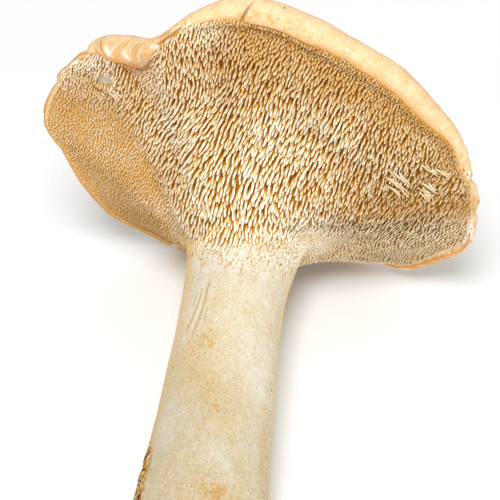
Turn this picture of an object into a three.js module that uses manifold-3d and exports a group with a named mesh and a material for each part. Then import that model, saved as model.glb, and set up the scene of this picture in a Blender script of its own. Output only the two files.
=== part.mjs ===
// A picked hedgehog mushroom, lying on its side: two spots of the cap's rim and the edge of the
// stem's cut end touch the surface. It grew as one piece, so it is one closed solid.
//
// The body is first drawn upright, the way it grew: the stem's axis runs along +Z from the cut end
// up to the cap, and the stem stands well off the cap's middle. It is then laid down, so that in
// the finished part +Y runs from the cut end towards the cap, +Z is up, and the origin is at the
// bottom centre of the bounding box.

import * as THREE from 'three';
import { ParametricGeometry } from 'three/addons/geometries/ParametricGeometry.js';
import { mergeVertices } from 'three/addons/utils/BufferGeometryUtils.js';
import Module from 'manifold-3d';

// ---- Driving dimensions, in millimetres and degrees ----

const CAP_CENTRE = new THREE.Vector2(3, -21); // the cap's middle, seen from the top of the stem
const CAP_TOP_HEIGHT = 26; // the shallow dip in the middle of the cap's upper side
const CAP_TOP_SWELL = 13; // how strongly the upper side swells between that dip and the rim
const CAP_DIP_PLACE = 0.6; // the dip lies this far from the stem's axis to the cap's middle

// The rim, station by station round the cap's middle. It is thin on the side that it lies on, and
// rolled under on the other. It bulges where it touches the surface, at 69 and 114 degrees, and
// folds in at 240 degrees.
const RIM = [
  // angle, reach, height, edge thickness, width of the bare lip below the edge
  [4, 46.5, 17.5, 3, 2.5],
  [16, 48, 18, 2.5, 2.5],
  [27, 50, 19.5, 2.5, 2.5],
  [38, 49.5, 21, 2, 2.5],
  [50, 49, 22.5, 2, 2.5],
  [60, 47.5, 26, 2, 2.5],
  [69, 48, 29, 2, 2.5],
  [82, 45.5, 29.5, 2, 2.5],
  [98, 46, 28, 2, 2.5],
  [114, 50, 26, 2, 2.5],
  [126, 48, 24, 1.5, 2],
  [140, 47.5, 22.5, 1.5, 2],
  [156, 45.5, 21.5, 1.5, 2],
  [170, 45, 21, 1.5, 1.5],
  [184, 47.5, 20.5, 1.5, 1.5],
  [202, 46.5, 21, 1.5, 1.5],
  [212, 45.5, 21, 2, 2],
  [221, 45, 21.5, 4, 6],
  [230, 42.5, 20.5, 4, 6],
  [240, 42, 18, 2.5, 3],
  [251, 43.5, 21, 3, 3],
  [263, 44.5, 24, 5, 6],
  [275, 44, 23.5, 5, 6],
  [286, 43, 22.5, 5, 6.5],
  [298, 43, 21, 5, 6.5],
  [312, 44, 19.5, 5, 6.5],
  [326, 44, 18.5, 4.5, 6],
  [338, 45, 17.5, 3.5, 4.5],
  [352, 45, 17, 3, 2.5],
];

// The stem, from its cut end up to the neck, where the underside starts to spread.
const STEM = [
  // height, axis x, axis y, radius
  [-70, 3, 0.6, 13],
  [-56, 2.6, 0.5, 13.3],
  [-40, 1.9, 0.3, 12.5],
  [-25, 1.1, 0.2, 11.5],
  [-10, 0.3, 0, 11],
  [2, 0, 0, 11.2],
];
const CUT_EDGE_ROUNDING = 2; // height over which the cut end turns into the stem's side

const NECK_RADIUS = 11.4;
const NECK_HEIGHT = 10; // mean height at which the underside leaves the stem
const NECK_TILT = 2; // it leaves higher by this much at NECK_HIGH_SIDE, and lower opposite
const NECK_HIGH_SIDE = 48;
const FUNNEL_CURVE = 1.6; // 1 is a straight cone from neck to lip, and more is a rounder funnel

const AXIS_RISE = 6.6; // the stem's axis climbs this much towards the cap as the mushroom lies
const SIDE_ROLL = 2.8; // turn about that axis which brings both rim spots down to the surface
const CONTACT_FLAT_DEPTH = 0.5; // how deep the surface has pressed the three spots flat

const STEPS_ROUND = 2 * RIM.length;
const STEPS_PER_SPAN = 2;

const FLESH = new THREE.MeshStandardMaterial({
  name: 'mushroom_flesh',
  color: '#ead2a6',
  roughness: 0.85,
  metalness: 0,
});

// ---- The body, upright ----

const rimEdge = new THREE.CatmullRomCurve3(
  RIM.map(([angle, reach, height]) => {
    const turn = THREE.MathUtils.degToRad(angle);
    return new THREE.Vector3(
      CAP_CENTRE.x + reach * Math.cos(turn),
      CAP_CENTRE.y + reach * Math.sin(turn),
      height,
    );
  }),
  true,
  'catmullrom',
);

const rimSection = new THREE.CatmullRomCurve3(
  RIM.map(([, , , thickness, lip]) => new THREE.Vector3(thickness, lip, 0)),
  true,
  'catmullrom',
);

// A point at a distance from a centre, along an outward direction, at a height.
function place(centre, outward, distance, height) {
  return new THREE.Vector3(
    centre.x + distance * outward.x,
    centre.y + distance * outward.y,
    height,
  );
}

// The cut end, from its middle to where the stem's side begins.
function cutEnd(outward) {
  const [height, x, y, radius] = STEM[0];
  const centre = { x, y };
  return [
    place(centre, outward, 0, height),
    place(centre, outward, 0.45 * radius, height),
    place(centre, outward, 0.88 * radius, height + 0.05 * CUT_EDGE_ROUNDING),
    place(centre, outward, radius, height + CUT_EDGE_ROUNDING),
  ];
}

function stemSide(outward) {
  return STEM.slice(1).map(([height, x, y, radius]) =>
    place({ x, y }, outward, radius, height),
  );
}

// The funnel that carries the teeth, from the neck out to the inside of the rim's lip.
function underside(outward, edge, thickness, lip) {
  const lean = outward.angle() - THREE.MathUtils.degToRad(NECK_HIGH_SIDE);
  const neckHeight = NECK_HEIGHT + NECK_TILT * Math.cos(lean);
  const neck = place({ x: 0, y: 0 }, outward, NECK_RADIUS, neckHeight);
  const inside = place(edge, outward, -lip, edge.z - 0.25 * thickness);
  return [0.035, 0.14, 0.32, 0.52, 0.72, 0.9, 1].map((part) => {
    const climb = 1 - Math.pow(1 - part, FUNNEL_CURVE);
    const point = neck.clone().lerp(inside, part);
    point.z = THREE.MathUtils.lerp(neck.z, inside.z, climb);
    return point;
  });
}

// The rolled rim in section, from its lowest line round the edge to the upper side.
function rimRoll(outward, edge, thickness, lip) {
  return [
    place(edge, outward, -0.62 * lip, edge.z - 0.55 * thickness),
    place(edge, outward, -0.2 * thickness, edge.z - 0.45 * thickness),
    edge,
    place(edge, outward, -0.25 * thickness, edge.z + 0.42 * thickness),
    place(edge, outward, -1.2 * thickness, edge.z + 0.62 * thickness),
  ];
}

// The upper side, from inside the rim to the dip in its middle.
function upperSide(shoulder) {
  const dip = new THREE.Vector3(
    CAP_CENTRE.x * CAP_DIP_PLACE,
    CAP_CENTRE.y * CAP_DIP_PLACE,
    CAP_TOP_HEIGHT,
  );
  return [0.8, 0.6, 0.4, 0.2, 0].map((part) => {
    const point = dip.clone().lerp(shoulder, part);
    const square = part * part;
    point.z = THREE.MathUtils.lerp(dip.z, shoulder.z, square);
    point.z += CAP_TOP_SWELL * square * (1 - square);
    return point;
  });
}

// One outline of the body, from the middle of the cut end to the top of the cap.
function outlineAt(turn) {
  const edge = rimEdge.getPoint(turn);
  const { x: thickness, y: lip } = rimSection.getPoint(turn);
  const outward = new THREE.Vector2(edge.x, edge.y).sub(CAP_CENTRE).normalize();
  const roll = rimRoll(outward, edge, thickness, lip);
  return new THREE.CatmullRomCurve3(
    [
      ...cutEnd(outward),
      ...stemSide(outward),
      ...underside(outward, edge, thickness, lip),
      ...roll,
      ...upperSide(roll.at(-1)),
    ],
    false,
    'catmullrom',
  );
}

function uprightBody() {
  const outlines = [];
  for (let i = 0; i < STEPS_ROUND; i++) outlines.push(outlineAt(i / STEPS_ROUND));
  const steps = STEPS_PER_SPAN * (outlines[0].points.length - 1);
  const surface = (round, along, target) => {
    const outline = outlines[Math.round(round * STEPS_ROUND) % STEPS_ROUND];
    outline.getPoint(THREE.MathUtils.clamp(along, 0, 1), target);
  };
  return new ParametricGeometry(surface, STEPS_ROUND, steps);
}

// ---- Laid down, with its contact spots pressed flat ----

const wasm = await Module();
wasm.setup();

function toSolid(geometry) {
  const bare = geometry.clone();
  bare.deleteAttribute('normal');
  bare.deleteAttribute('uv');
  const merged = mergeVertices(bare, 1e-3);
  return new wasm.Manifold(
    new wasm.Mesh({
      numProp: 3,
      vertProperties: merged.attributes.position.array,
      triVerts: new Uint32Array(merged.index.array),
    }),
  );
}

function toGeometry(solid) {
  const { vertProperties, triVerts } = solid.getMesh();
  const geometry = new THREE.BufferGeometry();
  geometry.setAttribute('position', new THREE.BufferAttribute(vertProperties, 3));
  geometry.setIndex(new THREE.BufferAttribute(triVerts, 1));
  geometry.computeVertexNormals();
  return geometry;
}

function layDown(body) {
  body.rotateZ(THREE.MathUtils.degToRad(SIDE_ROLL));
  body.rotateX(THREE.MathUtils.degToRad(AXIS_RISE - 90));
  body.computeBoundingBox();
  body.translate(0, 0, -body.boundingBox.min.z - CONTACT_FLAT_DEPTH);
}

function cutAtSurface(body) {
  const { min, max } = body.boundingBox;
  const below = new THREE.BoxGeometry(2 * (max.x - min.x), 2 * (max.y - min.y), 10);
  below.translate((min.x + max.x) / 2, (min.y + max.y) / 2, -5);
  return toGeometry(toSolid(body).subtract(toSolid(below)));
}

function centreOnOrigin(body) {
  body.computeBoundingBox();
  const middle = body.boundingBox.getCenter(new THREE.Vector3());
  body.translate(-middle.x, -middle.y, 0);
}

const body = uprightBody();
layDown(body);
body.computeBoundingBox();
const resting = cutAtSurface(body);
centreOnOrigin(resting);

const mushroom = new THREE.Mesh(resting, FLESH);
mushroom.name = 'mushroom';

const group = new THREE.Group();
group.add(mushroom);

export default group;
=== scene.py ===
"""A picked hedgehog mushroom lying on its side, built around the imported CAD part.

The body is the CAD part's own surface, drawn finer and with its small relief, and the teeth of the
underside grow from it. Both are worked out upright, in millimetres, as the mushroom grew, and are
then laid down where the CAD part lies. Upright, the top of the stem is at 0, x runs to the right,
y to the side it lies on and z up the stem, and degrees are headings about the cap's middle.
"""

import math
from itertools import product

import bpy
import numpy as np
from mathutils import Matrix, Vector


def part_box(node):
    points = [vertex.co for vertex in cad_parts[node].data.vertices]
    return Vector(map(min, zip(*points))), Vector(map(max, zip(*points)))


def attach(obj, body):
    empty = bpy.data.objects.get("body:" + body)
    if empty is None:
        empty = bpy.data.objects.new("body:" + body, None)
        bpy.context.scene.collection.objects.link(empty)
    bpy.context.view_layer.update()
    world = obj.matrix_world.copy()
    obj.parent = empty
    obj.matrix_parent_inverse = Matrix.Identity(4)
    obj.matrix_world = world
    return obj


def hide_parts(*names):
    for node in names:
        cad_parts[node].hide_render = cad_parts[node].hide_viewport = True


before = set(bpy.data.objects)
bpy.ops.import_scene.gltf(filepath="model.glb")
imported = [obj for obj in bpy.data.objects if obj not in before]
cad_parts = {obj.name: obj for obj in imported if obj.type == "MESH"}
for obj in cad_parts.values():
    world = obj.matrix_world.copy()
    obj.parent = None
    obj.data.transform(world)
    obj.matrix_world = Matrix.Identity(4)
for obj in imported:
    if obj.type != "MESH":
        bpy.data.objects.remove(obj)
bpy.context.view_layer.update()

MM = 0.001

# ---- The CAD part's shape, in millimetres and degrees ----

CAP_CENTRE = np.array([3.0, -21.0])
CAP_TOP_HEIGHT = 26.0
CAP_TOP_SWELL = 13.0
CAP_DIP_PLACE = 0.6

RIM = np.array([
    # angle, reach, height, edge thickness, width of the bare lip below the edge
    [4, 46.5, 17.5, 3, 2.5], [16, 48, 18, 2.5, 2.5], [27, 50, 19.5, 2.5, 2.5],
    [38, 49.5, 21, 2, 2.5], [50, 49, 22.5, 2, 2.5], [60, 47.5, 26, 2, 2.5], [69, 48, 29, 2, 2.5],
    [82, 45.5, 29.5, 2, 2.5], [98, 46, 28, 2, 2.5], [114, 50, 26, 2, 2.5], [126, 48, 24, 1.5, 2],
    [140, 47.5, 22.5, 1.5, 2], [156, 45.5, 21.5, 1.5, 2], [170, 45, 21, 1.5, 1.5],
    [184, 47.5, 20.5, 1.5, 1.5], [202, 46.5, 21, 1.5, 1.5], [212, 45.5, 21, 2, 2],
    [221, 45, 21.5, 4, 6], [230, 42.5, 20.5, 4, 6], [240, 42, 18, 2.5, 3], [251, 43.5, 21, 3, 3],
    [263, 44.5, 24, 5, 6], [275, 44, 23.5, 5, 6], [286, 43, 22.5, 5, 6.5], [298, 43, 21, 5, 6.5],
    [312, 44, 19.5, 5, 6.5], [326, 44, 18.5, 4.5, 6], [338, 45, 17.5, 3.5, 4.5],
    [352, 45, 17, 3, 2.5],
])

STEM = np.array([
    # height, axis x, axis y, radius
    [-70, 3, 0.6, 13],
    [-56, 2.6, 0.5, 13.3],
    [-40, 1.9, 0.3, 12.5],
    [-25, 1.1, 0.2, 11.5],
    [-10, 0.3, 0, 11],
    [2, 0, 0, 11.2],
])
# The stem's cut end, from its middle out: share of the radius, and height.
CUT_END = ((0, 0), (0.45, 0), (0.88, 0.1), (1, 2))
NECK_RADIUS = 11.4
NECK_HEIGHT = 10.0
NECK_TILT = 2.0
NECK_HIGH_SIDE = 48.0
FUNNEL_CURVE = 1.6
UNDERSIDE_PARTS = (0.035, 0.14, 0.32, 0.52, 0.72, 0.9, 1.0)
TOP_PARTS = (0.8, 0.6, 0.4, 0.2, 0.0)

# The rim, from inside its lip to its shoulder: steps outward as shares of the lip's width and of
# the edge's thickness, and height as a share of the thickness.
RIM_SECTION = ((-0.62, 0, -0.55), (0, -0.2, -0.45), (0, 0, 0), (0, -0.25, 0.42), (0, -1.2, 0.62))

# How the mushroom lies: how far the axis rises towards the cap, and its turn about the axis.
AXIS_RISE = 6.6
SIDE_ROLL = 2.8

# Places along one outline, counted in its control points from the middle of the cut end.
CUT_EDGE = 3
STEM_TOP = 8
NECK = 9
LIP_INSIDE = 15
LIP_LINE = 16
SHOULDER = 20
TOP_MIDDLE = 25

# How finely the body is drawn: outlines round it, and its stretches between two control points.
STEPS_ROUND = 864
STRETCHES = (
    # steps, and every how many outlines have points there
    [(3, 4), (4, 4), (6, 4)] + [(12, 4)] * 3 + [(12, 2)] * 3 + [(8, 2)] * 5
    + [(8, 1), (6, 1)] + [(7, 1)] * 4 + [(12, 2), (10, 2), (9, 2), (8, 4), (7, 4)]
)

# The teeth run out on the stem below this height at its near side, climbing round it.
RUN_OUT_HEIGHT = -1.8
RUN_OUT_CLIMB = 9.5
RUN_OUT_TOP = 8.0

# The rim's bare lip starts at this place along the outline, and the teeth end there.
BARE_FROM = np.array([
    # degrees, place
    [3, 15.9], [7, 15.5], [13, 15.2], [24, 15.2], [28, 15], [33, 14.7], [38, 15], [45, 15.3],
    [52, 15.2], [60, 15], [72, 15.2], [90, 15.6], [114, 15.8], [160, 15.9], [198, 16.1],
    [205, 16.8], [212, 17], [217, 17.3], [219, 16.9], [220.6, 16.5], [221.3, 15.7], [221.8, 14.8],
    [223.5, 14.3], [227, 14.3], [229.5, 14.6], [232, 14.9], [235, 15.3], [239, 16.1], [242, 16.7],
    [248, 16.75], [252, 16.45], [258, 16.5], [264, 16.3], [268, 15.9], [275, 15.9], [280, 16.05],
    [288, 16.35], [296, 16.45], [311, 16.3], [324, 16.3], [330, 16.4], [337, 16.6], [343, 16.4],
    [347, 16], [350, 16.2], [352.5, 16.8], [356, 16.7], [359.5, 16.3],
])


# ---- Curves and noise ----

def catmull(p0, p1, p2, p3, t):
    return 0.5 * (
        2 * p1
        + (p2 - p0) * t
        + (2 * p0 - 5 * p1 + 4 * p2 - p3) * t**2
        + (3 * p1 - p0 - 3 * p2 + p3) * t**3
    )


def round_spline(rows, turns):
    """Values on the closed curve through rows, at turns from 0 to 1."""
    n = len(rows)
    place = turns * n
    i = place.astype(int)
    return catmull(*(rows[(i + k) % n] for k in (-1, 0, 1, 2)), (place - i)[:, None])


def along_outlines(controls, steps):
    """Points on the open curves through controls (outline, point, xyz), and their places."""
    first = 2 * controls[:, :1] - controls[:, 1:2]
    last = 2 * controls[:, -1:] - controls[:, -2:-1]
    p = np.concatenate([first, controls, last], 1)
    rows, places = [], []
    for i, count in enumerate(steps):
        for j in range(count):
            rows.append(catmull(*(p[:, i + k] for k in range(4)), j / count))
            places.append(i + j / count)
    rows.append(controls[:, -1])
    places.append(len(steps))
    return np.stack(rows, 1), np.array(places)


def unit(vectors):
    return vectors / np.maximum(np.linalg.norm(vectors, axis=-1, keepdims=True), 1e-9)


def smooth(low, high, x):
    t = np.clip((x - low) / (high - low), 0, 1)
    return t * t * (3 - 2 * t)


def lattice(cells, seed):
    """A fixed pseudo-random value from -1 to 1 for each whole-number cell."""
    mixed = cells[..., 0] * 374761393 + cells[..., 1] * 668265263
    mixed = mixed + cells[..., 2] * 2147483647 + seed * 1274126177
    mixed = (mixed ^ (mixed >> 13)) * 1103515245 & 0x7FFFFFFF
    mixed = (mixed ^ (mixed >> 16)) * 362437 & 0x7FFFFFFF
    return (mixed & 0xFFFFF) / 0x7FFFF - 1.0


def noise(points, size, seed, octaves=1):
    """Smooth noise from -1 to 1 with features of about this size, in millimetres."""
    total = 0
    for octave in range(octaves):
        strength = 0.5**octave
        p = points / (size * strength) + 17.3 * (seed + octave)
        cell = np.floor(p).astype(np.int64)
        t = p - cell
        t = t * t * (3 - 2 * t)
        value = 0
        for corner in range(8):
            step = np.array([corner & 1, corner >> 1 & 1, corner >> 2 & 1])
            weight = np.prod(np.where(step, t, 1 - t), axis=-1)
            value = value + weight * lattice(cell + step, seed + 31 * octave)
        total = total + strength * value
    return total / (2 - 0.5 ** (octaves - 1))


# ---- The body's smooth surface, upright ----

def outline_controls(turns):
    """The control points of each outline, from the middle of the cut end to the cap's top."""
    angle = np.radians(RIM[:, 0])
    flat = CAP_CENTRE + RIM[:, 1:2] * np.stack([np.cos(angle), np.sin(angle)], 1)
    edge = round_spline(np.column_stack([flat, RIM[:, 2]]), turns)
    thickness, lip = round_spline(RIM[:, 3:], turns).T
    outward = unit(edge[:, :2] - CAP_CENTRE)
    heading = np.arctan2(outward[:, 1], outward[:, 0])

    def ring(centre, distance, height):
        flat = centre + outward * np.reshape(distance, (-1, 1))
        return np.column_stack([flat, np.broadcast_to(height, len(flat))])

    height, x, y, radius = STEM[0]
    controls = [ring((x, y), share * radius, height + rise) for share, rise in CUT_END]
    controls += [ring((x, y), radius, height) for height, x, y, radius in STEM[1:]]

    neck_height = NECK_HEIGHT + NECK_TILT * np.cos(heading - math.radians(NECK_HIGH_SIDE))
    neck = ring((0, 0), NECK_RADIUS, neck_height)
    inside = ring(edge[:, :2], -lip, edge[:, 2] - 0.25 * thickness)
    for part in UNDERSIDE_PARTS:
        climb = 1 - (1 - part) ** FUNNEL_CURVE
        controls.append(neck + (inside - neck) * (part, part, climb))
    for of_lip, of_edge, rise in RIM_SECTION:
        out = of_lip * lip + of_edge * thickness
        controls.append(ring(edge[:, :2], out, edge[:, 2] + rise * thickness))

    shoulder = controls[-1]
    dip = np.append(CAP_CENTRE * CAP_DIP_PLACE, CAP_TOP_HEIGHT)
    for part in TOP_PARTS:
        square = part * part
        swell = CAP_TOP_SWELL * square * (1 - square)
        controls.append(dip + (shoulder - dip) * (part, part, square) + (0, 0, swell))
    return np.stack(controls, 1), heading


class Surface:
    """The body as a grid of points: outline by outline, each from cut end to cap top."""

    def __init__(self, steps_round, steps):
        turns = np.arange(steps_round) / steps_round
        controls, heading = outline_controls(turns)
        self.points, places = along_outlines(controls, steps)
        self.place = np.broadcast_to(places, self.points.shape[:2])
        degrees = np.mod(np.degrees(heading), 360)
        self.degrees = np.broadcast_to(degrees[:, None], self.points.shape[:2])
        across = np.roll(self.points, -1, 0) - np.roll(self.points, 1, 0)
        self.normals = unit(np.cross(across, np.gradient(self.points, axis=1)))
        self.bare_from = bare_start(degrees)[:, None]


def bare_start(degrees):
    """The place at which the bare lip starts."""
    table = np.concatenate([BARE_FROM[-1:] - [360, 0], BARE_FROM, BARE_FROM[:1] + [360, 0]])
    return np.interp(degrees, table[:, 0], table[:, 1])


def turned(degrees, axis):
    return Matrix.Rotation(math.radians(degrees), 4, axis)


def laid_down(points):
    """Upright points in millimetres, turned as the mushroom lies, in metres."""
    turn = turned(AXIS_RISE - 90, "X") @ turned(SIDE_ROLL, "Z")
    return points @ np.array(turn.to_3x3()).T * MM


def resting_offset(surface):
    """The shift that brings the body to the middle and the top of the CAD part's box."""
    lying = laid_down(surface.points.reshape(-1, 3))
    low, high = np.array(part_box("mushroom"))
    shift = (low + high - lying.min(0) - lying.max(0)) / 2
    shift[2] = high[2] - lying[:, 2].max()
    return shift


OFFSET = resting_offset(Surface(2 * len(RIM), [2] * TOP_MIDDLE))


def settle(points):
    """Upright points in millimetres to their place in the scene, in metres."""
    placed = laid_down(points) + OFFSET
    placed[:, 2] = np.maximum(placed[:, 2], 0)
    return placed


# ---- Where things are on the body ----

def arc(degrees, middle):
    """The signed way round from middle to degrees, in degrees."""
    return np.mod(degrees - middle + 180, 360) - 180


def hill(x, width):
    return np.exp(-((x / width) ** 2))


def window(x, start, full, fade, end):
    """Rises from 0 at start to 1 at full, and falls from 1 at fade to 0 at end."""
    return smooth(start, full, x) * (1 - smooth(fade, end, x))


def away(p, x=0, y=0):
    """How far each point lies from x, y."""
    return np.hypot(p[..., 0] - x, p[..., 1] - y)


def spot(p, x, y, reach):
    """A soft round spot at x, y."""
    return hill(away(p, x, y), reach)


def spots(p, table):
    """The sum of soft spots, each given as x, y, reach and strength."""
    return sum(strength * spot(p, x, y, reach) for x, y, reach, strength in table)


def stem_part(body):
    """1 on the stem, 0 on the cap."""
    return 1 - smooth(STEM_TOP, NECK, body.place)


def along_rim(body, span, place, half_width):
    """A line along the rim at this place, in a span of degrees as window takes it."""
    return window(body.degrees, *span) * hill(body.place - place, half_width)


def near_line(points, line):
    """The distance of each point from a line of straight stretches."""
    line = np.asarray(line, float)
    nearest = np.full(points.shape[:-1], np.inf)
    for start, end in zip(line[:-1], line[1:]):
        way = end - start
        part = np.clip((points - start) @ way / (way @ way), 0, 1)
        gap = np.linalg.norm(points - start - part[..., None] * way, axis=-1)
        nearest = np.minimum(nearest, gap)
    return nearest


def unrolled(degrees, heights):
    """Places on the stem's side laid flat, in millimetres round it and along it."""
    return np.stack([np.radians(arc(degrees, 270)) * STEM[:, 3].mean(), heights], -1)


def from_groove(body, route):
    """The distance of each point from a route of (degrees, height) on the stem's side."""
    return near_line(unrolled(body.degrees, body.points[..., 2]), unrolled(*np.transpose(route)))


# ---- Regions of the underside ----

def beyond_fold(p):
    """How far each point lies to the right of the fold that parts off the left lobe."""
    return p[..., 0] + 7.0 - 0.5 * p[..., 1]


def left_lobe(p):
    """1 on the lobe beyond the fold."""
    return 1 - smooth(-5, 4, beyond_fold(p))


def left_of_middle(p):
    """1 towards the left."""
    return 1 - smooth(-24, 4, p[..., 0])


def felted(p):
    """1 on the lobe's outer part, where the teeth are like felt."""
    outer = 1 - smooth(-6, -1, beyond_fold(p))
    return outer * (0.2 + 0.8 * smooth(-38, -28, p[..., 1]))


def shaded_side(p):
    """1 on the fine-toothed hollow at the lying side."""
    return smooth(8, 18, p[..., 0]) * smooth(-17, -8, p[..., 1])


def right_side(p):
    """1 at the right."""
    return smooth(24, 33, p[..., 0]) * smooth(-32, -20, p[..., 1])


def lying_side(p):
    """1 where the underside turns away on the lying side, beyond the neck."""
    return smooth(-14, 6, p[..., 1]) * smooth(3, 15, p[..., 0])


def white_side(p):
    """1 on the white patch beside the neck, at its right."""
    return spot(p, 14.5, -4, 5.5)


def above_run_out(p):
    """The height of each point above the line round the neck where the teeth run out."""
    reach = np.maximum(away(p), 1)
    line = RUN_OUT_HEIGHT + RUN_OUT_CLIMB * (1 + p[..., 1] / reach)
    return p[..., 2] - np.minimum(line, RUN_OUT_TOP)


def near_neck(p):
    """1 round the neck, where the teeth shrink to warts before they run out."""
    reach = np.maximum(away(p), 1)
    deep = 8 + 3 * smooth(-0.6, 0.1, p[..., 0] / reach) + 10 * smooth(-0.1, 0.5, p[..., 0] / reach)
    low = 1 - smooth(-0.2, 1.0, (above_run_out(p) + 1.5 * noise(p, 3, 31)) / deep)
    return np.maximum(low, 0.8 * white_side(p))


def pale_near(p):
    """1 near the neck, mostly at its right."""
    near = (1 - smooth(4, 21, above_run_out(p))) * (1 - smooth(17, 29, away(p)))
    return near * (0.2 + 0.8 * smooth(-4, 4, p[..., 0]))


def thin_side(p):
    """1 on the hollow beside the neck, at the lying side."""
    return spot(p, 19, 6, 9)


def in_valley(p):
    # How much darker the teeth are painted, as shade, in each point's valley.
    shades = [dark * hill(near_line(p[..., :2], line), 1.3 * width)
              for _, width, dark, line in VALLEYS]
    return np.max(shades, 0)


def scar(p):
    """1 on the ragged scar where the teeth are rubbed off."""
    ragged = 1 + 0.5 * noise(p, 1.0, 63)
    return 1 - smooth(0.6, 1.15, away(p, *SCAR) / SCAR_REACH * ragged)


# ---- The body's relief ----

VALLEYS = (
    # depth, half width, how much darker its teeth are painted as shade in the valley, line of x, y
    (1.3, 2.2, 0.7, [(-6, -53), (-4.5, -45), (-3, -37)]),
    (1, 3, 0.6, [(9, -46), (12, -39), (18, -34), (25, -29)]),
    (0.8, 4.5, 0.3, [(20, 0), (28, -4), (37, -10)]),
    (0.7, 2.2, 0, [(-24, -44), (-21, -24), (-15, -3)]),
)
SCAR = (-29.3, -41.5)
SCAR_REACH = 2.7
RIM_NICKS = (
    # degrees, half width in degrees, depth, place from which it cuts in
    (117.2, 0.7, 2.6, 14.8), (200, 1.6, 0.5, 16.6), (216, 1.2, 0.9, 16.6), (346, 0.9, 0.3, 16.6),
    (355, 1.7, 1, 16.6), (9, 2.2, 0.7, 16.6),
)
STEM_GROOVES = (
    # depth, half width, route of (degrees, height)
    (0.4, 0.24, ((246, -6.5), (244, -11), (241, -14.5), (236, -18.5))),
    (0.35, 0.22, ((238, -9), (236, -11.5), (233, -13.5), (226, -17.5))),
    (0.25, 0.22, ((231, -8), (229, -12))),
    (0.15, 0.2, ((249, -13.5), (246, -17))),
    (-0.3, 0.5, ((224, -18.5), (228, -20.5), (236, -21), (243, -19.5))),
    (-0.3, 0.4, ((277, -54.5), (284, -55.2), (290, -54.2))),
    (-0.35, 0.28, ((272, -46.5), (286, -49), (299, -52.5))),
    (-0.35, 0.28, ((276, -46.5), (290, -49), (304, -52))),
    (-0.3, 0.28, ((269, -48.5), (282, -51), (294, -54))),
)


def fold_flap(body):
    """1 on the flap where the rim is folded over the underside."""
    across = window(body.degrees, 219.5, 223, 235, 240)
    return across * smooth(-0.15, 0.2, body.place - body.bare_from)


def flap_streaks(body):
    """The flap's streaks, from -1 where orange to 1 where white."""
    across = body.degrees - np.interp(body.degrees, [222, 232], [10, 4.5]) * (body.place - 16)
    return 2 * noise(np.stack([across, 0.3 * body.place, 0 * across], -1), 0.9, 14, 2)


def across_crack(body):
    """How many degrees past the slanting crack in the rolled rim each point lies."""
    return arc(body.degrees, 265.3) - 1.6 * (body.place - 16.4)


def crust(body):
    """1 on the strip of soil low on the left of the stem."""
    return hill(arc(body.degrees, 203), 10) * window(body.points[..., 2], -68, -62, -52, -40)


def relief(body):
    """How far each point of the body stands out from the smooth surface."""
    p, place, deg = body.points, body.place, body.degrees
    stem = window(place, CUT_EDGE - 0.3, CUT_EDGE + 0.4, NECK - 0.4, NECK + 0.3)
    rim = window(place, LIP_INSIDE + 0.2, LIP_LINE, SHOULDER, SHOULDER + 1)
    top = smooth(SHOULDER, SHOULDER + 1, place)
    under = window(place, NECK, NECK + 1, LIP_INSIDE - 1, LIP_INSIDE)

    fibres = noise(p * (1, 1, 0.1), 1.6, 3, 2)
    out = stem * (0.12 * fibres + 0.4 * noise(p * (1, 1, 0.4), 7, 5, 2))
    for depth, width, route in STEM_GROOVES:
        out -= stem * depth * hill(from_groove(body, route), width)
    out += (0.5 + 0.5 * noise(p, 2, 9)) * crust(body)

    for depth, width, _, line in VALLEYS:
        out -= under * depth * hill(near_line(p[..., :2], line), width)

    out += rim * (0.25 * noise(p, 5, 7, 2) + 0.10 * noise(p, 1.4, 8, 2))
    flap = fold_flap(body)
    out += flap * (1 - smooth(16.4, 17.6, place)) * 0.8
    out += 0.06 * flap * flap_streaks(body)
    out -= 0.5 * along_rim(body, (220, 223, 230, 234), body.bare_from - 0.22, 0.16)
    out += 0.9 * window(place, 16.8, 16.98, 17.4, 17.9) * window(deg, 239, 241, 248.9, 249.5)
    crack = across_crack(body)
    out -= 0.7 * hill(crack, 0.4) * window(place, 15.9, 16.2, 17.4, 17.8)
    out += 0.35 * hill(crack - 0.9, 0.5) * window(place, 15.9, 16.2, 17.6, 18.2)
    out += 0.9 * under * scar(p)
    out -= 0.8 * smooth(NECK - 0.5, NECK + 1, place) * thin_side(p) * (place < LIP_INSIDE)
    ragged = window(deg, 344, 347, 358, 362) * window(place, 15.8, 16.2, 17.4, 17.8)
    out += 0.45 * ragged * noise(p, 0.9, 17)
    out += 0.3 * (1 - smooth(CUT_EDGE - 1, CUT_EDGE, place)) * noise(p, 3, 15, 2)
    out += 0.4 * hill(arc(deg, 5), 24) * hill(p[..., 2] - 8, 4.5) * (place < LIP_INSIDE - 3)
    torn = window(deg, 10, 13, 23, 26) * window(place, 15.2, 15.6, 17.2, 17.8)
    out += torn * 0.35 * np.sin(7 * (place - 15.2) + 0.35 * arc(deg, 10))

    out += top * (1.3 * noise(p, 16, 11, 2) + 0.25 * noise(p, 3.5, 12, 3))
    return out


def edge_shift(body):
    """How far nicks and an uneven edge move each point towards the cap's middle."""
    edge = window(body.place, 16.6, 17.6, 18.6, 19.6)
    uneven = noise(body.points, 3.0, 41, 2)
    thin = 1 - window(body.degrees, 218, 224, 334, 342)
    shift = edge * 0.3 * uneven * (0.3 + 0.7 * thin)
    for degrees, width, depth, start in RIM_NICKS:
        nick = window(body.place, start, start + 1, 18.6, 19.6)
        shift += depth * nick * hill(arc(body.degrees, degrees), width)
    return shift


def build_body():
    body = Surface(STEPS_ROUND, [steps for steps, _ in STRETCHES])
    raised = body.points + body.normals * relief(body)[..., None]
    raised[..., :2] += unit(CAP_CENTRE - body.points[..., :2]) * edge_shift(body)[..., None]
    raised[:, 0] = raised[:, 0].mean(0)
    raised[:, -1] = raised[:, -1].mean(0)
    body.raised = raised
    body.skips = [skip for steps, skip in STRETCHES for _ in range(steps)] + [1]
    return body


# ---- Meshes ----

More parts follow.
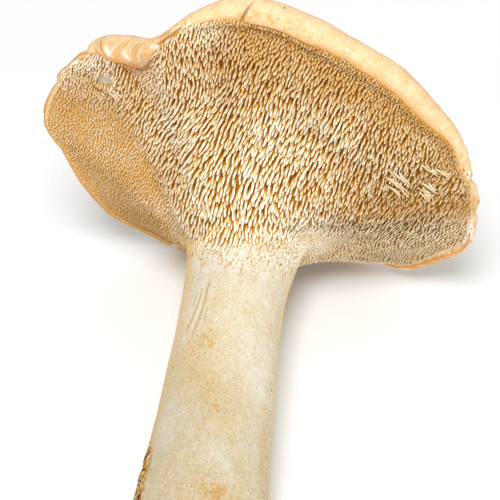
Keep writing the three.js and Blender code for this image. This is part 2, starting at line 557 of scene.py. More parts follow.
def join_rings(rings):
    """The faces between rings of vertices, and each corner's place round and along them.

    Of two neighbours, one may have twice the other's vertices or be a single point.
    """
    faces, corners = [], []
    for row, (low, high) in enumerate(zip(rings, rings[1:])):
        n = max(len(low), len(high))
        for i in range(n):
            face = {}
            for ring, k in ((low, i), (low, i + 1), (high, i + 1), (high, i)):
                step = k * len(ring) // n
                u = (i + 0.5) / n if len(ring) == 1 else step / len(ring)
                v = (row + (ring is high)) / (len(rings) - 1)
                face.setdefault(ring[step % len(ring)], (u, v))
            faces.append(tuple(face))
            corners.extend(face.values())
    return faces, corners


def body_faces(body):
    """The faces, their corners' texture places, and the outline and row of each vertex."""
    count, rows = body.place.shape
    rings, sources = [], []
    for row in range(rows):
        columns = [0] if row in (0, rows - 1) else range(0, count, body.skips[row])
        rings.append(range(len(sources), len(sources) + len(columns)))
        sources.extend((column, row) for column in columns)
    return *join_rings(rings), tuple(np.array(sources).T)


def in_scene(name, data):
    item = bpy.data.objects.new(name, data)
    bpy.context.scene.collection.objects.link(item)
    return item


def new_piece(name, vertices, faces, corners, material):
    mesh = bpy.data.meshes.new(name)
    mesh.from_pydata(vertices.tolist(), [], faces)
    mesh.shade_smooth()
    mesh.materials.append(material)
    uv = mesh.uv_layers.new(name="OFBake")
    uv.data.foreach_set("uv", np.asarray(corners, np.float32).ravel())
    return in_scene(name, mesh)


def add_values(piece, name, values):
    attribute = piece.data.attributes.new(name, "FLOAT", "POINT")
    attribute.data.foreach_set("value", np.asarray(values, np.float32))


# ---- Marks on the body ----

STEM_MARKS = {
    # degrees, height, half width, half height, strength
    "tan": [
        (246, -22, 16, 3.5, 0.8), (243, -29, 24, 6, 0.6), (262, -32, 14, 3, 0.3),
        (272, -37.5, 16, 6, 0.4), (279, -57, 24, 4, 0.9), (333, -42, 6, 12, 0.8),
        (215, -24, 12, 8, 0.6),
    ],
    "amber": [
        (252, -19.9, 4, 1, 1), (234, -21.9, 4.5, 0.9, 1), (260, -22, 4, 1.4, 0.9),
        (277, -37.8, 8, 3, 0.5), (286, -57.1, 9, 2.2, 1), (291, -12, 3, 0.8, 0.7),
        (308, -20, 2, 0.7, 0.6),
    ],
    "soil": [
        (204, -46.8, 4, 0.7, 1.1), (206, -50.5, 4, 0.6, 1), (203, -53.5, 6, 0.8, 1.1),
        (207, -57, 5, 0.8, 1),
    ],
    "bloom": [
        (303, -23, 28, 8, 0.5), (283, -49, 16, 4, 0.8), (325, -31, 20, 9, 0.7),
        (228, -42, 14, 9, 0.7), (232, -12, 14, 6, 0.6), (300, -8, 34, 5, 0.25),
    ],
}
RIM_MARKS = {
    # degrees, place, half width, half depth, strength
    "white": [
        # The white marks are painted highlights: glints on facets of the folded flap and just
        # beside it.
        (223.9, 16.9, 0.6, 0.35, 1.3), (228.6, 16.5, 0.6, 0.4, 0.9), (240.4, 16.7, 0.7, 0.3, 1.2),
    ],
    "pale": [
        (239.6, 16.9, 0.9, 0.4, 1), (210, 17.15, 6, 0.35, 1.2), (63, 15.5, 9, 0.6, 1.2),
        (349, 16.8, 0.5, 0.2, 1.3), (351, 16.9, 0.4, 0.2, 1.3), (248.5, 16.7, 2, 0.2, 1),
        (251, 17.2, 1, 0.6, 0.7), (267, 17.4, 0.8, 0.7, 0.8), (294.5, 17.1, 1.8, 0.2, 0.6),
        (350, 17.3, 0.8, 0.3, 1), (359.5, 18, 1.6, 0.7, 0.8),
    ],
    "dirt": [(350, 16.9, 0.4, 0.25, 1.2), (348, 16.6, 0.5, 0.2, 1.2), (3.8, 17.7, 1.3, 0.5, 1)],
    "ochre": [
        (1.5, 16.7, 4, 0.5, 1), (245, 17.3, 4, 0.35, 0.9), (6, 16.8, 3.5, 0.7, 1),
        (36, 16.2, 13, 0.8, 1.6),
    ],
    "orange": [
        (222.5, 16.9, 0.45, 0.7, 1), (224.6, 15.7, 2, 0.6, 1.5), (237.2, 16.2, 1.3, 0.5, 1.6),
        (250, 17.3, 0.5, 0.5, 0.9), (264.7, 16.7, 0.5, 0.3, 1), (347, 16.3, 3.5, 0.4, 0.9),
        (342, 16.9, 1, 0.3, 0.9),
    ],
    "soil": [
        (276, 18.1, 0.3, 0.16, 1), (282, 18.1, 0.3, 0.16, 1), (351.4, 17.5, 0.4, 0.2, 0.8),
        (15, 17.6, 0.5, 0.2, 1), (18.5, 17.6, 0.4, 0.2, 1),
    ],
}


def margin_line(body):
    """1 on the thin orange line that edges the cap."""
    deg, place = body.degrees, body.place
    at = np.interp(deg, [180, 191, 200, 206], [16.3, 17.2, 17.3, 17.75])
    wide = np.interp(deg, [198, 206], [0.38, 0.28])
    line = along_rim(body, (104, 112, 216, 219), at, wide)
    at = np.interp(deg, [20, 28, 34, 60], [16.7, 16.15, 15.85, 15.8])
    line += along_rim(body, (18, 22, 68, 76), at, 0.22)
    line += along_rim(body, (219.5, 220.5, 226, 229), body.bare_from + 0.25, 0.3)
    crease = deg - np.interp(place, [16.0, 17.2, 17.9], [223.1, 222.3, 222.6])
    line += hill(crease, 0.35) * window(place, 15.4, 15.8, 17.8, 18.1)
    line += 0.8 * along_rim(body, (241, 242.5, 248.4, 249.4), 16.85, 0.16)
    return line + 0.45 * along_rim(body, (254, 258, 332, 338), body.bare_from + 0.1, 0.14)


def rift_line(body):
    """1 on the thin dark cracks of the rim."""
    line = along_rim(body, (240.5, 242, 248.8, 249.4), 16.8, 0.13)
    line += 0.8 * along_rim(body, (222.5, 223.5, 229, 232), body.bare_from + 0.1, 0.13)
    return line + hill(across_crack(body), 0.3) * window(body.place, 15.9, 16.2, 17.4, 17.8)


def stem_lines(body, gain):
    """How strongly the stem's grooves show, or its ridges if gain is negative."""
    lines = [min(1, gain * depth) * hill(from_groove(body, route), width)
             for depth, width, route in STEM_GROOVES if gain * depth > 0]
    return np.max(lines, 0) * stem_part(body)


def soft_marks(degrees, up, table):
    """The soft marks of a table, at points with these degrees and heights or places."""
    return sum(strength * hill(arc(degrees, middle), wide) * hill(up - at, tall)
               for middle, at, wide, tall, strength in table)


def body_marks(body):
    """How strong each kind of mark is at each point of the body."""
    p, place, deg = body.points, body.place, body.degrees
    peach = smooth(-0.12, 0.12, place - body.bare_from)
    other = 1 - peach
    above = above_run_out(p)
    flecks = smooth(-3, 1, above + 2.0 * noise(p, 3, 51)) * other
    mealy = smooth(-4, -1, above + 2.0 * noise(p, 2, 52)) * (1 - smooth(3, 8, above))
    # Painted highlight: a golden glow along the stem's left and right edges as the camera sees
    # them.
    limbs = window(arc(deg, 202), -70, -8, 3, 14) + 0.55 * window(arc(deg, 353), -10, -2, 6, 70)
    band_line = along_rim(body, (250, 262, 340, 350), body.bare_from + 0.1, 0.09)
    marks = {
        "peach": peach,
        "gap": smooth(3, 8, above) * (place > STEM_TOP - 1) * other,
        "fleck": flecks * near_neck(p) * (place > STEM_TOP - 1),
        "pale_gap": felted(p) * other,
        "white_gap": white_side(p) * (place > NECK),
        "shaded_gap": np.maximum(shaded_side(p), lying_side(p)) * other,
        "speckled": hill(arc(deg, 344), 7) * smooth(-10, -20, p[..., 2]),
        "limb_glow": limbs * stem_part(body),
        # Darker towards the cut end: partly the stem's own tan, partly painted shade.
        "low": smooth(-12, -50, p[..., 2]) * stem_part(body),
        "cut": 1 - smooth(CUT_EDGE - 0.4, CUT_EDGE, place),
        "flap": window(deg, 222.8, 223.4, 238, 240) * window(place, 14.2, 14.6, 17.2, 18.0) * peach,
        "streak": 0.5 + 0.5 * flap_streaks(body),
        "rift": rift_line(body),
        "groove": stem_lines(body, 3),
        "torn": window(deg, 10, 12, 24, 26) * window(place, 15.2, 15.4, 17.2, 17.5),
        "scar": scar(p) * (place > NECK) * other,
        "line": np.maximum(margin_line(body), 0.35 * band_line),
        "crown": smooth(SHOULDER, TOP_MIDDLE - 1, place),
    }
    for kind in STEM_MARKS | RIM_MARKS:
        marks[kind] = soft_marks(deg, p[..., 2], STEM_MARKS.get(kind, ())) * stem_part(body)
        marks[kind] += soft_marks(deg, place, RIM_MARKS.get(kind, ()))
    veins = window(deg, 265.5, 267, 284, 290) * window(place, 16.0, 16.3, 17.0, 17.5)
    marks["orange"] += 0.4 * veins
    marks["dirt"] += 2.0 * crust(body)
    marks["soil"] += 0.38 * crust(body)
    marks["bloom"] += 1.2 * stem_lines(body, -4) + 0.9 * mealy * (place > STEM_TOP - 2)
    return {kind: np.clip(value, 0, 1) for kind, value in marks.items()}


# ---- Materials ----

class Nodes:
    """Short ways to add shader nodes and join them up."""

    def __init__(self, name):
        self.material = bpy.data.materials.new(name)
        self.material.use_nodes = True
        self.tree = self.material.node_tree

    def set(self, node, inputs):
        for key, value in inputs.items():
            socket = node.inputs[key]
            if isinstance(value, bpy.types.NodeSocket):
                self.tree.links.new(value, socket)
            else:
                socket.default_value = value

    def finish(self, inputs):
        """The material, with these inputs of its surface set."""
        self.set(self.tree.nodes["Principled BSDF"], inputs)
        return self.material

    def node(self, kind, output, inputs, **settings):
        """An output of a new node of this kind."""
        node = self.tree.nodes.new("ShaderNode" + kind)
        for key, value in settings.items():
            setattr(node, key, value)
        self.set(node, inputs)
        return node.outputs[output]

    def value(self, name):
        return self.node("Attribute", "Fac", {}, attribute_name=name)

    def place(self, way, drawn_out):
        """The place on the piece, with features drawn out this many times along way."""
        found = self.node("TexCoord", "Object", {})
        way = Vector(laid_down(way))
        turn = Vector((1, 0, 0)).rotation_difference(way).to_euler()
        inputs = {"Vector": found, "Rotation": turn, "Scale": (drawn_out, 1, 1)}
        return self.node("Mapping", "Vector", inputs, vector_type="TEXTURE")

    def noise(self, size, detail=3.0, roughness=0.5, way=(0, 0, 1), drawn_out=1):
        """Noise from 0 to 1 with features of about this size, in millimetres."""
        inputs = {"Scale": 1 / (size * MM), "Detail": detail, "Roughness": roughness}
        return self.node("TexNoise", "Fac", {"Vector": self.place(way, drawn_out), **inputs})

    def math(self, operation, a, b, clamp=False):
        return self.node("Math", 0, {0: a, 1: b}, operation=operation, use_clamp=clamp)

    def times(self, a, b):
        return self.math("MULTIPLY", a, b)

    def between(self, x, low, high, most=1.0):
        """0 where x is low, rising smoothly to most where x is high."""
        inputs = {"Value": x, "From Min": low, "From Max": high, "To Max": most}
        return self.node("MapRange", "Result", inputs, interpolation_type="SMOOTHSTEP")

    def broken(self, name, noise, most=1.0):
        """A mark of this name, broken up into ragged patches by noise."""
        patches = self.times(self.value(name), self.between(noise, 0.3, 0.7))
        return self.between(patches, 0.15, 0.45, most)

    def soft(self, name, noise, strength):
        """A mark of this name, mottled by noise but without edges."""
        mottled = self.times(self.value(name), self.between(noise, 0.25, 0.7))
        return self.math("MULTIPLY", mottled, strength, True)

    def mix(self, cover, under, over, blend="MIX"):
        """One colour over another, where each is a hex code or an output."""
        under, over = (colour(c) if isinstance(c, str) else c for c in (under, over))
        inputs = {0: cover, 6: under, 7: over}
        return self.node("Mix", 2, inputs, data_type="RGBA", blend_type=blend)

    def paint(self, under, *coats):
        """A colour under coats, each with its cover, which may be a mark's name, and its colour."""
        for cover, *over in coats:
            cover = self.value(cover) if isinstance(cover, str) else cover
            under = self.mix(cover, under, *over)
        return under


def colour(code):
    """A hex colour as linear red, green, blue and alpha."""
    parts = [int(code[i:i + 2], 16) / 255 for i in (0, 2, 4)]
    linear = [c / 12.92 if c <= 0.04045 else ((c + 0.055) / 1.055) ** 2.4 for c in parts]
    return (*linear, 1.0)


TORN_WAY = (0.1, 1.0, 0.1)  # the way that the torn flesh at the right of the rim runs


def body_material():
    n = Nodes("mushroom_body")
    broad = n.noise(9)
    middle = n.noise(3.5, 4)
    ragged = n.noise(2.4, 6, 0.7)
    fine = n.noise(0.9, 4, 0.6)
    fibres = n.noise(1.0, 5, 0.65, drawn_out=6)
    stipple = n.noise(0.5, 2)
    specks = n.noise(0.35, 1)

    stem = n.paint(
        "DDD6C2",
        (n.between(broad, 0.38, 0.62), "DACDA9"),
        (n.between(fibres, 0.42, 0.75, 0.6), "D2BE90"),
        (n.between(ragged, 0.48, 0.66, 0.6), "E9E4D6"),
        (n.between(middle, 0.5, 0.68, 0.4), "D8BE88"),
        (n.between(fine, 0.5, 0.72, 0.4), "D3B581"),
        (n.between(stipple, 0.52, 0.64, 0.28), "C8A468"),
        (n.between(stipple, 0.48, 0.38, 0.25), "EFEADD"),
        (n.soft("bloom", middle, 0.9), "E9E8E0"),
        (n.soft("tan", ragged, 0.9), "D7B881"),
        (n.soft("tan", n.between(stipple, 0.5, 0.6), 0.4), "C6974F"),
        (n.broken("amber", fine, 0.7), "CF9F50"),
        # Painted highlight: the golden glow along the stem's edges.
        (n.soft("limb_glow", middle, 1.1), "EDCB82"),
        ("groove", "BC9C6A"),
        # Partly the stem's own tan, partly painted shade, darker towards the cut end.
        ("low", "EAE6DE", "MULTIPLY"),
        (n.soft("cut", middle, 0.8), "DDBE88"),
        (n.between(specks, 0.71, 0.74), "8A6538"),
        (n.times(n.value("speckled"), n.between(specks, 0.62, 0.68)), "5E4020"),
    )
    peach = n.paint(
        "ECCEA2",
        (n.between(middle, 0.35, 0.65), "E5BE8A"),
        (n.between(fine, 0.5, 0.8), "F1D9B0"),
        (n.between(fibres, 0.55, 0.75, 0.6), "DDAE74"),
        (n.between(stipple, 0.52, 0.64, 0.25), "D9A866"),
        (n.between(stipple, 0.46, 0.36, 0.3), "F3E2BC"),
        (n.soft("crown", broad, 1.2), "DDAA6E"),
    )
    streak = n.value("streak")
    flap = n.paint(
        "DDAA6A",
        (n.between(streak, 0.1, 0.45), "E7BD89"),
        (n.between(streak, 0.6, 0.95), "F0D9B2"),
    )
    shreds = n.noise(0.7, 3, 0.6, TORN_WAY, 7)
    gap = n.paint(
        "B87818",
        (fine, "D69E3C"),
        ("pale_gap", "D4A252"),
        ("shaded_gap", "8E6414"),
        ("white_gap", "DCCBA6"),
    )
    slits = n.between(n.noise(0.45, 2, 0.5, drawn_out=2.5), 0.52, 0.6)
    skin = n.paint(
        stem,
        ("gap", gap),
        (n.times(n.value("fleck"), slits), "B88618"),
        ("peach", peach),
        ("flap", flap),
        ("torn", n.mix(n.between(shreds, 0.42, 0.5), "D08C40", "F7F0E0")),
        ("scar", n.mix(n.between(fibres, 0.4, 0.6), "D2C7B2", "B2A48C")),
        (n.broken("ochre", ragged), "CBA268"),
        (n.broken("pale", ragged), "F2ECDF"),
        (n.broken("orange", fine), "E0A04E"),
        # Painted highlights: white glints on the folded flap and just beside it.
        ("white", "F8F4EA"),
        ("line", "D48E3A"),
        ("rift", "95602A"),
        (n.broken("dirt", fine), "B67A20"),
        (n.broken("soil", fine), "4C2600"),
    )
    height = n.math("ADD", fine, n.times(n.noise(0.35, 3), 0.4))
    bump = n.node("Bump", "Normal", {"Height": height, "Distance": 0.3 * MM, "Strength": 0.7})
    return n.finish({"Base Color": skin, "Roughness": 0.7, "Normal": bump})


def tooth_material():
    n = Nodes("mushroom_teeth")
    along = n.value("along")
    tone = n.value("tone")
    # The teeth darken from white tips to orange-brown roots: partly their own colour, partly
    # painted shade deep between them.
    shade = n.paint(
        n.mix(tone, "E4980C", "C98C24"),
        (n.between(along, 0.25, 0.7), n.mix(tone, "FFE292", "D9AC58")),
        (n.between(along, 0.55, 0.9), n.mix(tone, "FFFFF6", "DBB674")),
    )
    # Painted shade: darker olive colours where the underside turns away at the lying side, and
    # under the broad rolled rim.
    olive = n.paint(
        "683F02",
        (n.between(along, 0.2, 0.7), "A57A28"),
        (n.between(along, 0.6, 1.0), "F0DFBE"),
    )
    pale = n.mix(n.between(along, 0.0, 0.7), "DEC794", "FCF6E6")
    shade = n.paint(shade, ("shaded", olive), ("white", pale))
    return n.finish({"Base Color": shade, "Roughness": 0.6})


# ---- Teeth ----

TOOTH_SIDES = 6
# A tooth's outline: parts of the way from root to tip, with shares of its width there.
TOOTH_PROFILE = ((0.0, 0.95), (0.3, 1.0), (0.6, 0.95), (0.82, 0.78), (0.95, 0.45))
ALONG = np.append(np.repeat([t for t, _ in TOOTH_PROFILE], TOOTH_SIDES), 1)  # of each vertex
TOOTH_PIECES = 4
TRIES = 200000  # to find roots for the teeth
ROOTS_SEED = 4
LOOKS_SEED = 9
LONGEST = 3.9
SHORTEST = 0.2
SUNK = 0.4  # how far each tooth reaches into the body

# Where a tooth's base and sides lie in its own square of the texture.
BASE_CENTRE = np.array([0.5, 0.08])
BASE_RADIUS = 0.07
SIDES_FROM = np.array([0.03, 0.18])
SIDES_SIZE = np.array([0.94, 0.8])

# Pale teeth beside the left of the rim, along a line of x, y.
PALE_LINE = [(-39, -40), (-37, -43), (-32, -46)]

# Where the teeth are darker or lighter than around.
TONE_CHANGES = (
    # x, y, reach, change of the tone towards tan
    (38, -22, 12, 0.4), (1, -55, 6, 0.25), (19, -53, 7, 0.3), (7, -15, 13, -0.4),
)

# Where a tooth or two are missing: x, y.
HOLES = (
    (37.7, -22.8), (40.5, -18.3), (41.3, -18.3), (38.7, -15.2), (30.6, -24.3), (32.2, -24.2),
    (-30.6, -37.9), (-31.8, -38.6),
)
HOLE_REACH = 0.8

# How far the teeth lean towards +x: everywhere, more at the left, and in some places.
LEAN = -0.15
LEAN_LEFT = 0.08
LEAN_CHANGES = (
    # x, y, reach, change of the lean
    (-11, -50, 9, 0.32), (-12, -35, 8, -0.3), (-1.4, -42, 5, -0.15), (5, -42, 5, 0.18),
    (-33, -26, 13, 0.16), (0, -14, 10, 0.22), (15, -14, 7, 0.18), (-18, -24, 8, -0.1),
    (-13, -4, 7, 0.35), (32, -27, 9, 0.12), (38, -6, 9, -0.25), (30, -5, 7, -0.22),
    (17, -3, 7, -0.2), (44, -5, 5, -0.4), (41, -24, 3.5, -0.6),
)

# Long teeth that lie loose over the others.
FALLEN = (
    # start x, y, end x, y, how far the middle is bent aside
    (30.5, -30.4, 32.3, -26.9, 0.1), (30.6, -27.6, 34.2, -22.2, 0.3), (33, -24.9, 35, -20.9, -0.2),
    (30.1, -25.5, 33.2, -19.8, 0.7), (28.9, -24.7, 30.8, -23.4, 0), (32.2, -28.7, 35.1, -24.2, 0.3),
    (37.7, -26.1, 40.6, -23.1, 0), (37, -23.1, 39.2, -19.4, 0.1), (38, -23.9, 39, -20.5, 0.1),
    (38.9, -23.6, 39.4, -19.4, -0.2), (38.8, -26.2, 40.1, -24.4, 0), (40, -30.8, 43, -27.4, 0.3),
    (37.2, -32.3, 38.8, -30.2, 0), (40.7, -29.2, 43.4, -28, 0.1), (31.5, -30, 34.4, -25.9, -0.2),
    (29.9, -27.9, 32.6, -24.2, 0.3), (36.6, -24.4, 39.6, -21, 0.2), (38.2, -31, 40.4, -28.4, 0.2),
    (-32.1, -37.4, -30.3, -34.4, 0.2), (-31.4, -37.8, -29.6, -36, -0.2),
    (-28.4, -39.6, -27, -35.6, 0.3), (-27.9, -40.4, -26.2, -36.6, 0.2),
)


def cell_areas(grid):
    """The area of each cell of the body's grid."""
    edge = np.roll(grid, -1, 0) - grid
    up = grid[:, 1:] - grid[:, :-1]
    return np.linalg.norm(np.cross(edge[:, :-1], up), axis=-1)


def scatter(body, allowed):
    """Roots on the allowed part of the body, with their normals, degrees and places."""
    draw = np.random.RandomState(ROOTS_SEED)
    weight = (cell_areas(body.raised) * allowed[:, :-1]).ravel().cumsum()
    picks = np.searchsorted(weight, draw.uniform(0, weight[-1], TRIES))
    outline, row = np.divmod(picks, allowed.shape[1] - 1)
    u, v = draw.uniform(0, 1, (2, TRIES, 1))
    beside = (outline + 1) % len(body.raised)

    def between(grid):
        low, high = (grid[outline, k] * (1 - u) + grid[beside, k] * u for k in (row, row + 1))
        return low * (1 - v) + high * v

    points = between(body.raised)
    degrees = body.degrees[outline, row]
    places = body.place[outline, row] * (1 - v[:, 0]) + body.place[outline, row + 1] * v[:, 0]
    gaps = tooth_spacing(points, degrees, places)
    cell = gaps.max()
    cells, kept = {}, []
    for index, ((x, y, z), gap) in enumerate(zip(points.tolist(), gaps.tolist())):
        if gap <= 0:
            continue
        a, b, c = int(x // cell), int(y // cell), int(z // cell)
        block = product((a - 1, a, a + 1), (b - 1, b, b + 1), (c - 1, c, c + 1))
        near = (other for key in block for other in cells.get(key, ()))
        if all((x - q) ** 2 + (y - r) ** 2 + (z - s) ** 2 > gap * gap for q, r, s in near):
            cells.setdefault((a, b, c), []).append((x, y, z))
            kept.append(index)
    return points[kept], between(body.normals)[kept], degrees[kept], places[kept]


def near_rim(degrees, places):
    """1 on the last few millimetres before the bare lip."""
    return smooth(-2.0, -0.6, places - bare_start(degrees))


def under_band(degrees, places):
    """1 beside the broad rolled rim."""
    return window(degrees, 235, 262, 345, 357) * smooth(-3.5, -1.3, places - bare_start(degrees))


def tooth_gap(p, degrees, places):
    """The distance between neighbouring teeth where they stand close."""
    gap = 0.75 + 0.13 * spot(p, 2, -20, 17) - 0.12 * left_lobe(p)
    gap += 0.12 * spot(p, -17, -31, 8) - 0.06 * felted(p) - 0.08 * shaded_side(p)
    gap -= 0.26 * near_neck(p) + 0.12 * near_rim(degrees, places) + 0.08 * left_of_middle(p)
    gap -= 0.15 * under_band(degrees, places) + 0.05 * right_side(p)
    return np.maximum(gap, 0.54 - 0.08 * near_neck(p))


def tooth_spacing(p, degrees, places):
    """The distance between neighbouring teeth, or 0 where none stand."""
    above = above_run_out(p) + 2.5 * noise(p, 2.0, 62)
    grown = places < bare_start(degrees) - 0.12 + 0.15 * noise(p, 1.5, 61)
    grown &= (above > 0) & (scar(p) < 0.5)
    for x, y in HOLES:
        grown &= away(p, x, y) > HOLE_REACH
    return grown * tooth_gap(p, degrees, places) * (1 + 0.8 * (1 - smooth(0, 6, above)))


def tooth_mesh(roots, axis, length, width, bend, draw):
    """The vertices of curved blunt teeth."""
    count = len(roots)
    side = unit(np.cross(axis, [0, 1, 0]))
    front = np.cross(axis, side)
    twist = draw.uniform(0, 2 * math.pi, (count, 1))
    turn = twist + np.arange(TOOTH_SIDES) * 2 * math.pi / TOOTH_SIDES
    facet = draw.uniform(0.92, 1.06, (count, TOOTH_SIDES))
    rings = []
    for t, share in TOOTH_PROFILE:
        centre = roots + axis * (length * t)[:, None] + bend * (length * t * t)[:, None]
        radius = (0.5 * width * share)[:, None] * facet
        ring = centre[:, None] + side[:, None] * (np.cos(turn) * radius)[..., None]
        rings.append(ring + front[:, None] * (np.sin(turn) * radius)[..., None])
    rings.append((roots + (axis + bend) * length[:, None])[:, None])
    return np.concatenate(rings, 1)


def tooth_faces(count):
    """The faces of count teeth, and their corners' texture places, a square for each tooth."""
    n, tip = TOOTH_SIDES, TOOTH_SIDES * len(TOOTH_PROFILE)
    base = tuple(reversed(range(n)))
    turns = 2 * math.pi / n * np.array(base)
    base_corners = BASE_CENTRE + BASE_RADIUS * np.stack([np.cos(turns), np.sin(turns)], 1)
    sides, corners = join_rings([range(k, k + n) for k in range(0, tip, n)] + [[tip]])
    corners = np.concatenate([base_corners, SIDES_FROM + SIDES_SIZE * np.array(corners)])
    cells = math.ceil(math.sqrt(count))
    cell = np.stack(np.divmod(np.arange(count), cells), 1)[:, None]
    places = (corners[None] + cell) / cells
    firsts = range(0, count * (tip + 1), tip + 1)
    faces = [tuple(first + v for v in face) for first in firsts for face in [base, *sides]]
    return faces, places.reshape(-1, 2)


def usual_length(p, degrees, places):
    far = smooth(0, 0.6, np.sin(np.radians(degrees)))
    cuts = (
        0.4 * left_lobe(p), 0.55 * felted(p), 0.35 * left_of_middle(p), 0.3 * right_side(p),
        0.1 * shaded_side(p), 0.3 * lying_side(p), 0.93 * smooth(0, 0.8, near_neck(p)),
        0.6 * near_rim(degrees, places), 0.65 * under_band(degrees, places),
        0.8 * thin_side(p), 0.15 * pale_near(p), 0.4 * far * smooth(12, 14, places),
    )
    return SHORTEST + (LONGEST - SHORTEST) * np.prod(1 - np.array(cuts), 0)


def tooth_width(p, degrees, places):
    share = 0.72 + 0.08 * felted(p) - 0.08 * in_valley(p) + 0.1 * pale_near(p)
    return (share + 0.2 * under_band(degrees, places)) * tooth_gap(p, degrees, places)


def tooth_tone(p, degrees, places):
    """The tone of the teeth, from white at 0 to tan at 1, with painted shade towards the top, near
    the rim, beside the broad rolled rim and in the valleys.
    """
    # Painted shade: darker towards the top, under the rim.
    top = smooth(-38, -50, p[:, 1]) * smooth(-12, 4, p[:, 0])
    right = smooth(16, 27, p[:, 0]) * (0.4 + 0.6 * smooth(-30, -20, p[:, 1]))
    tone = 0.25 + 0.47 * left_lobe(p) + 0.16 * felted(p) + 0.3 * top + 0.25 * right
    tone += 0.35 * left_of_middle(p) * (1 - left_lobe(p))
    tone += 0.55 * smooth(0.1, 0.8, near_neck(p))
    # Painted shade: darker near the rim, beside the broad rolled rim and in the valleys.
    tone += 0.3 * near_rim(degrees, places) * smooth(-16, 4, p[:, 0])
    tone += 0.45 * under_band(degrees, places) * smooth(-12, 4, p[:, 0])
    tone += 0.25 * in_valley(p) - 0.3 * hill(near_line(p[:, :2], PALE_LINE), 3.0)
    return tone + spots(p, TONE_CHANGES) + 0.15 * noise(p, 6, 71)


def tooth_axes(p, normals, draw):
    lean = LEAN + LEAN_LEFT * left_of_middle(p)
    messy = 8 * near_neck(p) + 6 * spot(p, 40, -16, 10)
    lean += 0.07 * noise(p, 8, 21) + draw.normal(0, 0.025, len(p)) * (1 + messy)
    lean += spots(p, LEAN_CHANGES)
    sideways = 0.07 * noise(p, 8, 22) + draw.normal(0, 0.03, len(p))
    steep = smooth(0.5, 1.0, np.linalg.norm(normals[:, :2], axis=1))
    axes = np.column_stack([lean, sideways, -np.ones(len(p))])
    return unit(axes + normals * (0.08 + 0.1 * steep)[:, None])


def fallen_teeth(body):
    """The roots, axes, lengths and bends of the teeth that lie loose on the others' tips."""
    table = np.array(FALLEN)
    under = (body.place > NECK) & (body.place < LIP_LINE)
    points = body.raised[under]
    tips = points[:, 2] - 0.85 * usual_length(points, body.degrees[under], body.place[under])
    ends = [(x, y, tips[away(points, x, y).argmin()]) for x, y in table[:, :4].reshape(-1, 2)]
    start, end = np.reshape(ends, (-1, 2, 3)).swapaxes(0, 1)
    length = np.linalg.norm(end - start, axis=1)
    way = (end - start) / length[:, None]
    side = np.cross(way, [0, 0, 1])
    bow = side * (4 * table[:, 4] / length)[:, None]
    twins = start + 0.65 * side + way * (0.25 * length)[:, None]
    return (
        np.concatenate([start, twins]),
        np.tile(way + bow, (2, 1)),
        np.concatenate([length, 0.55 * length]),
        np.tile(-bow, (2, 1)),
    )


def standing_teeth(body, draw):
    """The vertices of the rooted teeth, their looks, and the degrees at which they stand."""
    allowed = window(body.place, STEM_TOP - 1.2, STEM_TOP - 1, LIP_INSIDE + 2.2, LIP_INSIDE + 2.4)
    roots, normals, degrees, places = scatter(body, allowed)
    count = len(roots)
    usual = usual_length(roots, degrees, places)
    length = usual * draw.uniform(0.82, 1.12, count)
    width = tooth_width(roots, degrees, places) * draw.uniform(0.88, 1.15, count)
    width *= 1 - 0.6 * near_neck(roots) * draw.uniform(0, 1, count)
    tone = tooth_tone(roots, degrees, places) + draw.normal(0, 0.08, count)
    axis = tooth_axes(roots, normals, draw)
    bend = np.column_stack([draw.normal(0, 0.035, (count, 2)), np.zeros(count)])
    length += SUNK
    vertices = tooth_mesh(roots - axis * SUNK, axis, length, width, bend, draw)

    olive = np.maximum(shaded_side(roots), lying_side(roots))
    # Painted shade: the roots show darker, the more so for a tooth shorter than its neighbours and
    # near the rolled rim.
    short = np.maximum(np.minimum(1, length / (0.85 * LONGEST)), 0.9 * olive)
    # Painted shade cast by the broad rolled rim on the teeth just inside it.
    rim_shade = near_rim(degrees, places) * window(degrees, 258, 268, 342, 352)
    change = 0.8 * (length / usual - 1.1) - 0.55 * rim_shade - 0.25 * near_neck(roots) * (1 - olive)
    brown = np.maximum(0.5 * rim_shade, 0.4 * spot(roots, 39, -20, 14))
    looks = {
        "along": 1 - (1 - ALONG) * short[:, None] + change[:, None],
        "tone": tone,
        "white": white_side(roots) + 0.3 * pale_near(roots) * (1 - olive),
        "shaded": np.maximum(olive, brown),
    }
    return vertices, looks, degrees


def loose_teeth(body, draw):
    """The same for the teeth that lie loose, which count as standing at 0 degrees."""
    roots, ways, lengths, bends = fallen_teeth(body)
    count = len(roots)
    widths = draw.uniform(0.25, 0.5, count) * (0.75 + 0.25 * (roots[:, 0] > 0))
    vertices = tooth_mesh(roots, ways, lengths, widths, bends, draw)
    looks = {
        "along": 0 * ALONG + draw.uniform(0.3, 0.8, (count, 1)),
        "tone": draw.uniform(0.4, 1.0, count),
        "white": np.full(count, 0.5),
        "shaded": np.zeros(count),
    }
    return vertices, looks, np.zeros(count)


def build_teeth(body, material):
    draw = np.random.RandomState(LOOKS_SEED)
    vertices, looks, degrees = zip(standing_teeth(body, draw), loose_teeth(body, draw))
    vertices = np.concatenate(vertices)
    order = np.argsort(np.concatenate(degrees), kind="stable")
    for number, share in enumerate(np.array_split(order, TOOTH_PIECES), 1):
        faces, corners = tooth_faces(len(share))
        settled = settle(vertices[share].reshape(-1, 3))
        piece = new_piece(f"teeth_{number}", settled, faces, corners, material)
        for name in looks[0]:
            values = np.concatenate([look[name] for look in looks])[share]
            values = np.clip(values.reshape(len(share), -1), 0, 1)
            add_values(piece, name, np.broadcast_to(values, vertices[share].shape[:2]).ravel())
        yield piece


# ---- Camera, floor and light ----

VIEW_RISE = 47.1
VIEW_TURN = 13.5
VIEW_ROLL = -4.5
VIEW_DISTANCE = 0.5
VIEW_WIDTH = 0.105
VIEW_SHIFT = 0.00168  # the neck lies this far left of and below the picture's middle
NECK_FRONT = (1.7, -11.3, 0.0)
SENSOR_WIDTH = 36
FLOOR_SIZE = 3.0


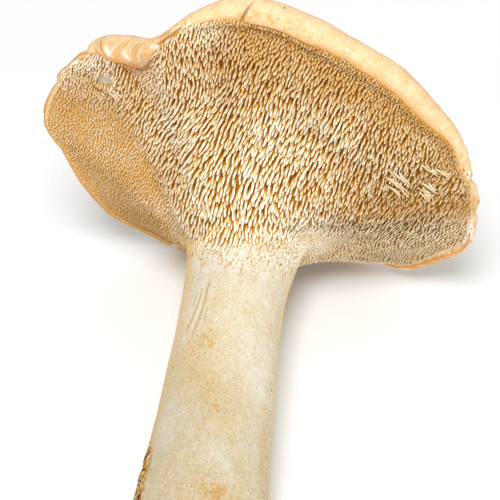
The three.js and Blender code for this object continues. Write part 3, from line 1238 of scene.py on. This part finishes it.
def build_camera():
    target = Vector(laid_down(NECK_FRONT) + OFFSET)
    turn = turned(VIEW_TURN, "Z") @ turned(90 - VIEW_RISE, "X") @ turned(VIEW_ROLL, "Z")
    back = Matrix.Translation((VIEW_SHIFT, VIEW_SHIFT, VIEW_DISTANCE))
    data = bpy.data.cameras.new("camera")
    data.sensor_width = SENSOR_WIDTH
    data.lens = SENSOR_WIDTH * VIEW_DISTANCE / VIEW_WIDTH
    camera = in_scene("camera", data)
    camera.matrix_world = Matrix.Translation(target) @ turn @ back
    bpy.context.scene.camera = camera


def build_stage():
    square = np.array([(0, 0, 0), (1, 0, 0), (1, 1, 0), (0, 1, 0)])
    corners = FLOOR_SIZE * (square - (0.5, 0.5, 0))
    paper = Nodes("floor_paper").finish({"Base Color": (0.91, 0.93, 0.96, 1), "Roughness": 0.9})
    new_piece("floor", corners, [(0, 1, 2, 3)], square[:, :2], paper)


def area_light(name, place, target, size, power, tint):
    data = bpy.data.lights.new(name, "AREA")
    data.shape = "DISK"
    data.size = size
    data.energy = power
    data.color = tint
    light = in_scene(name, data)
    light.location = place
    light.rotation_euler = (Vector(target) - Vector(place)).to_track_quat("-Z", "Y").to_euler()


def build_light():
    world = bpy.data.worlds.new("studio")
    world.use_nodes = True
    glow = world.node_tree.nodes["Background"].inputs
    glow["Color"].default_value = (1, 0.97, 0.91, 1)
    glow["Strength"].default_value = 0.55
    bpy.context.scene.world = world
    area_light("key", (0.05, -0.35, 0.85), (0, 0, 0.04), 0.35, 6.0, (1, 1, 1))
    area_light("fill", (0.5, -0.6, 0.1), (0.03, 0, 0.03), 0.25, 1.6, (1, 0.98, 0.95))


# ---- Assembly ----

def build_body_piece(body):
    faces, corners, sources = body_faces(body)
    settled = settle(body.raised[sources])
    piece = new_piece("mushroom_body", settled, faces, corners, body_material())
    for kind, strength in body_marks(body).items():
        add_values(piece, kind, strength[sources])
    return piece


bpy.context.scene.view_settings.view_transform = "Standard"

build_camera()
build_stage()
build_light()

body = build_body()
body_piece = build_body_piece(body)
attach(body_piece, "root")
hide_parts("mushroom")

for piece in build_teeth(body, tooth_material()):
    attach(piece, "root")
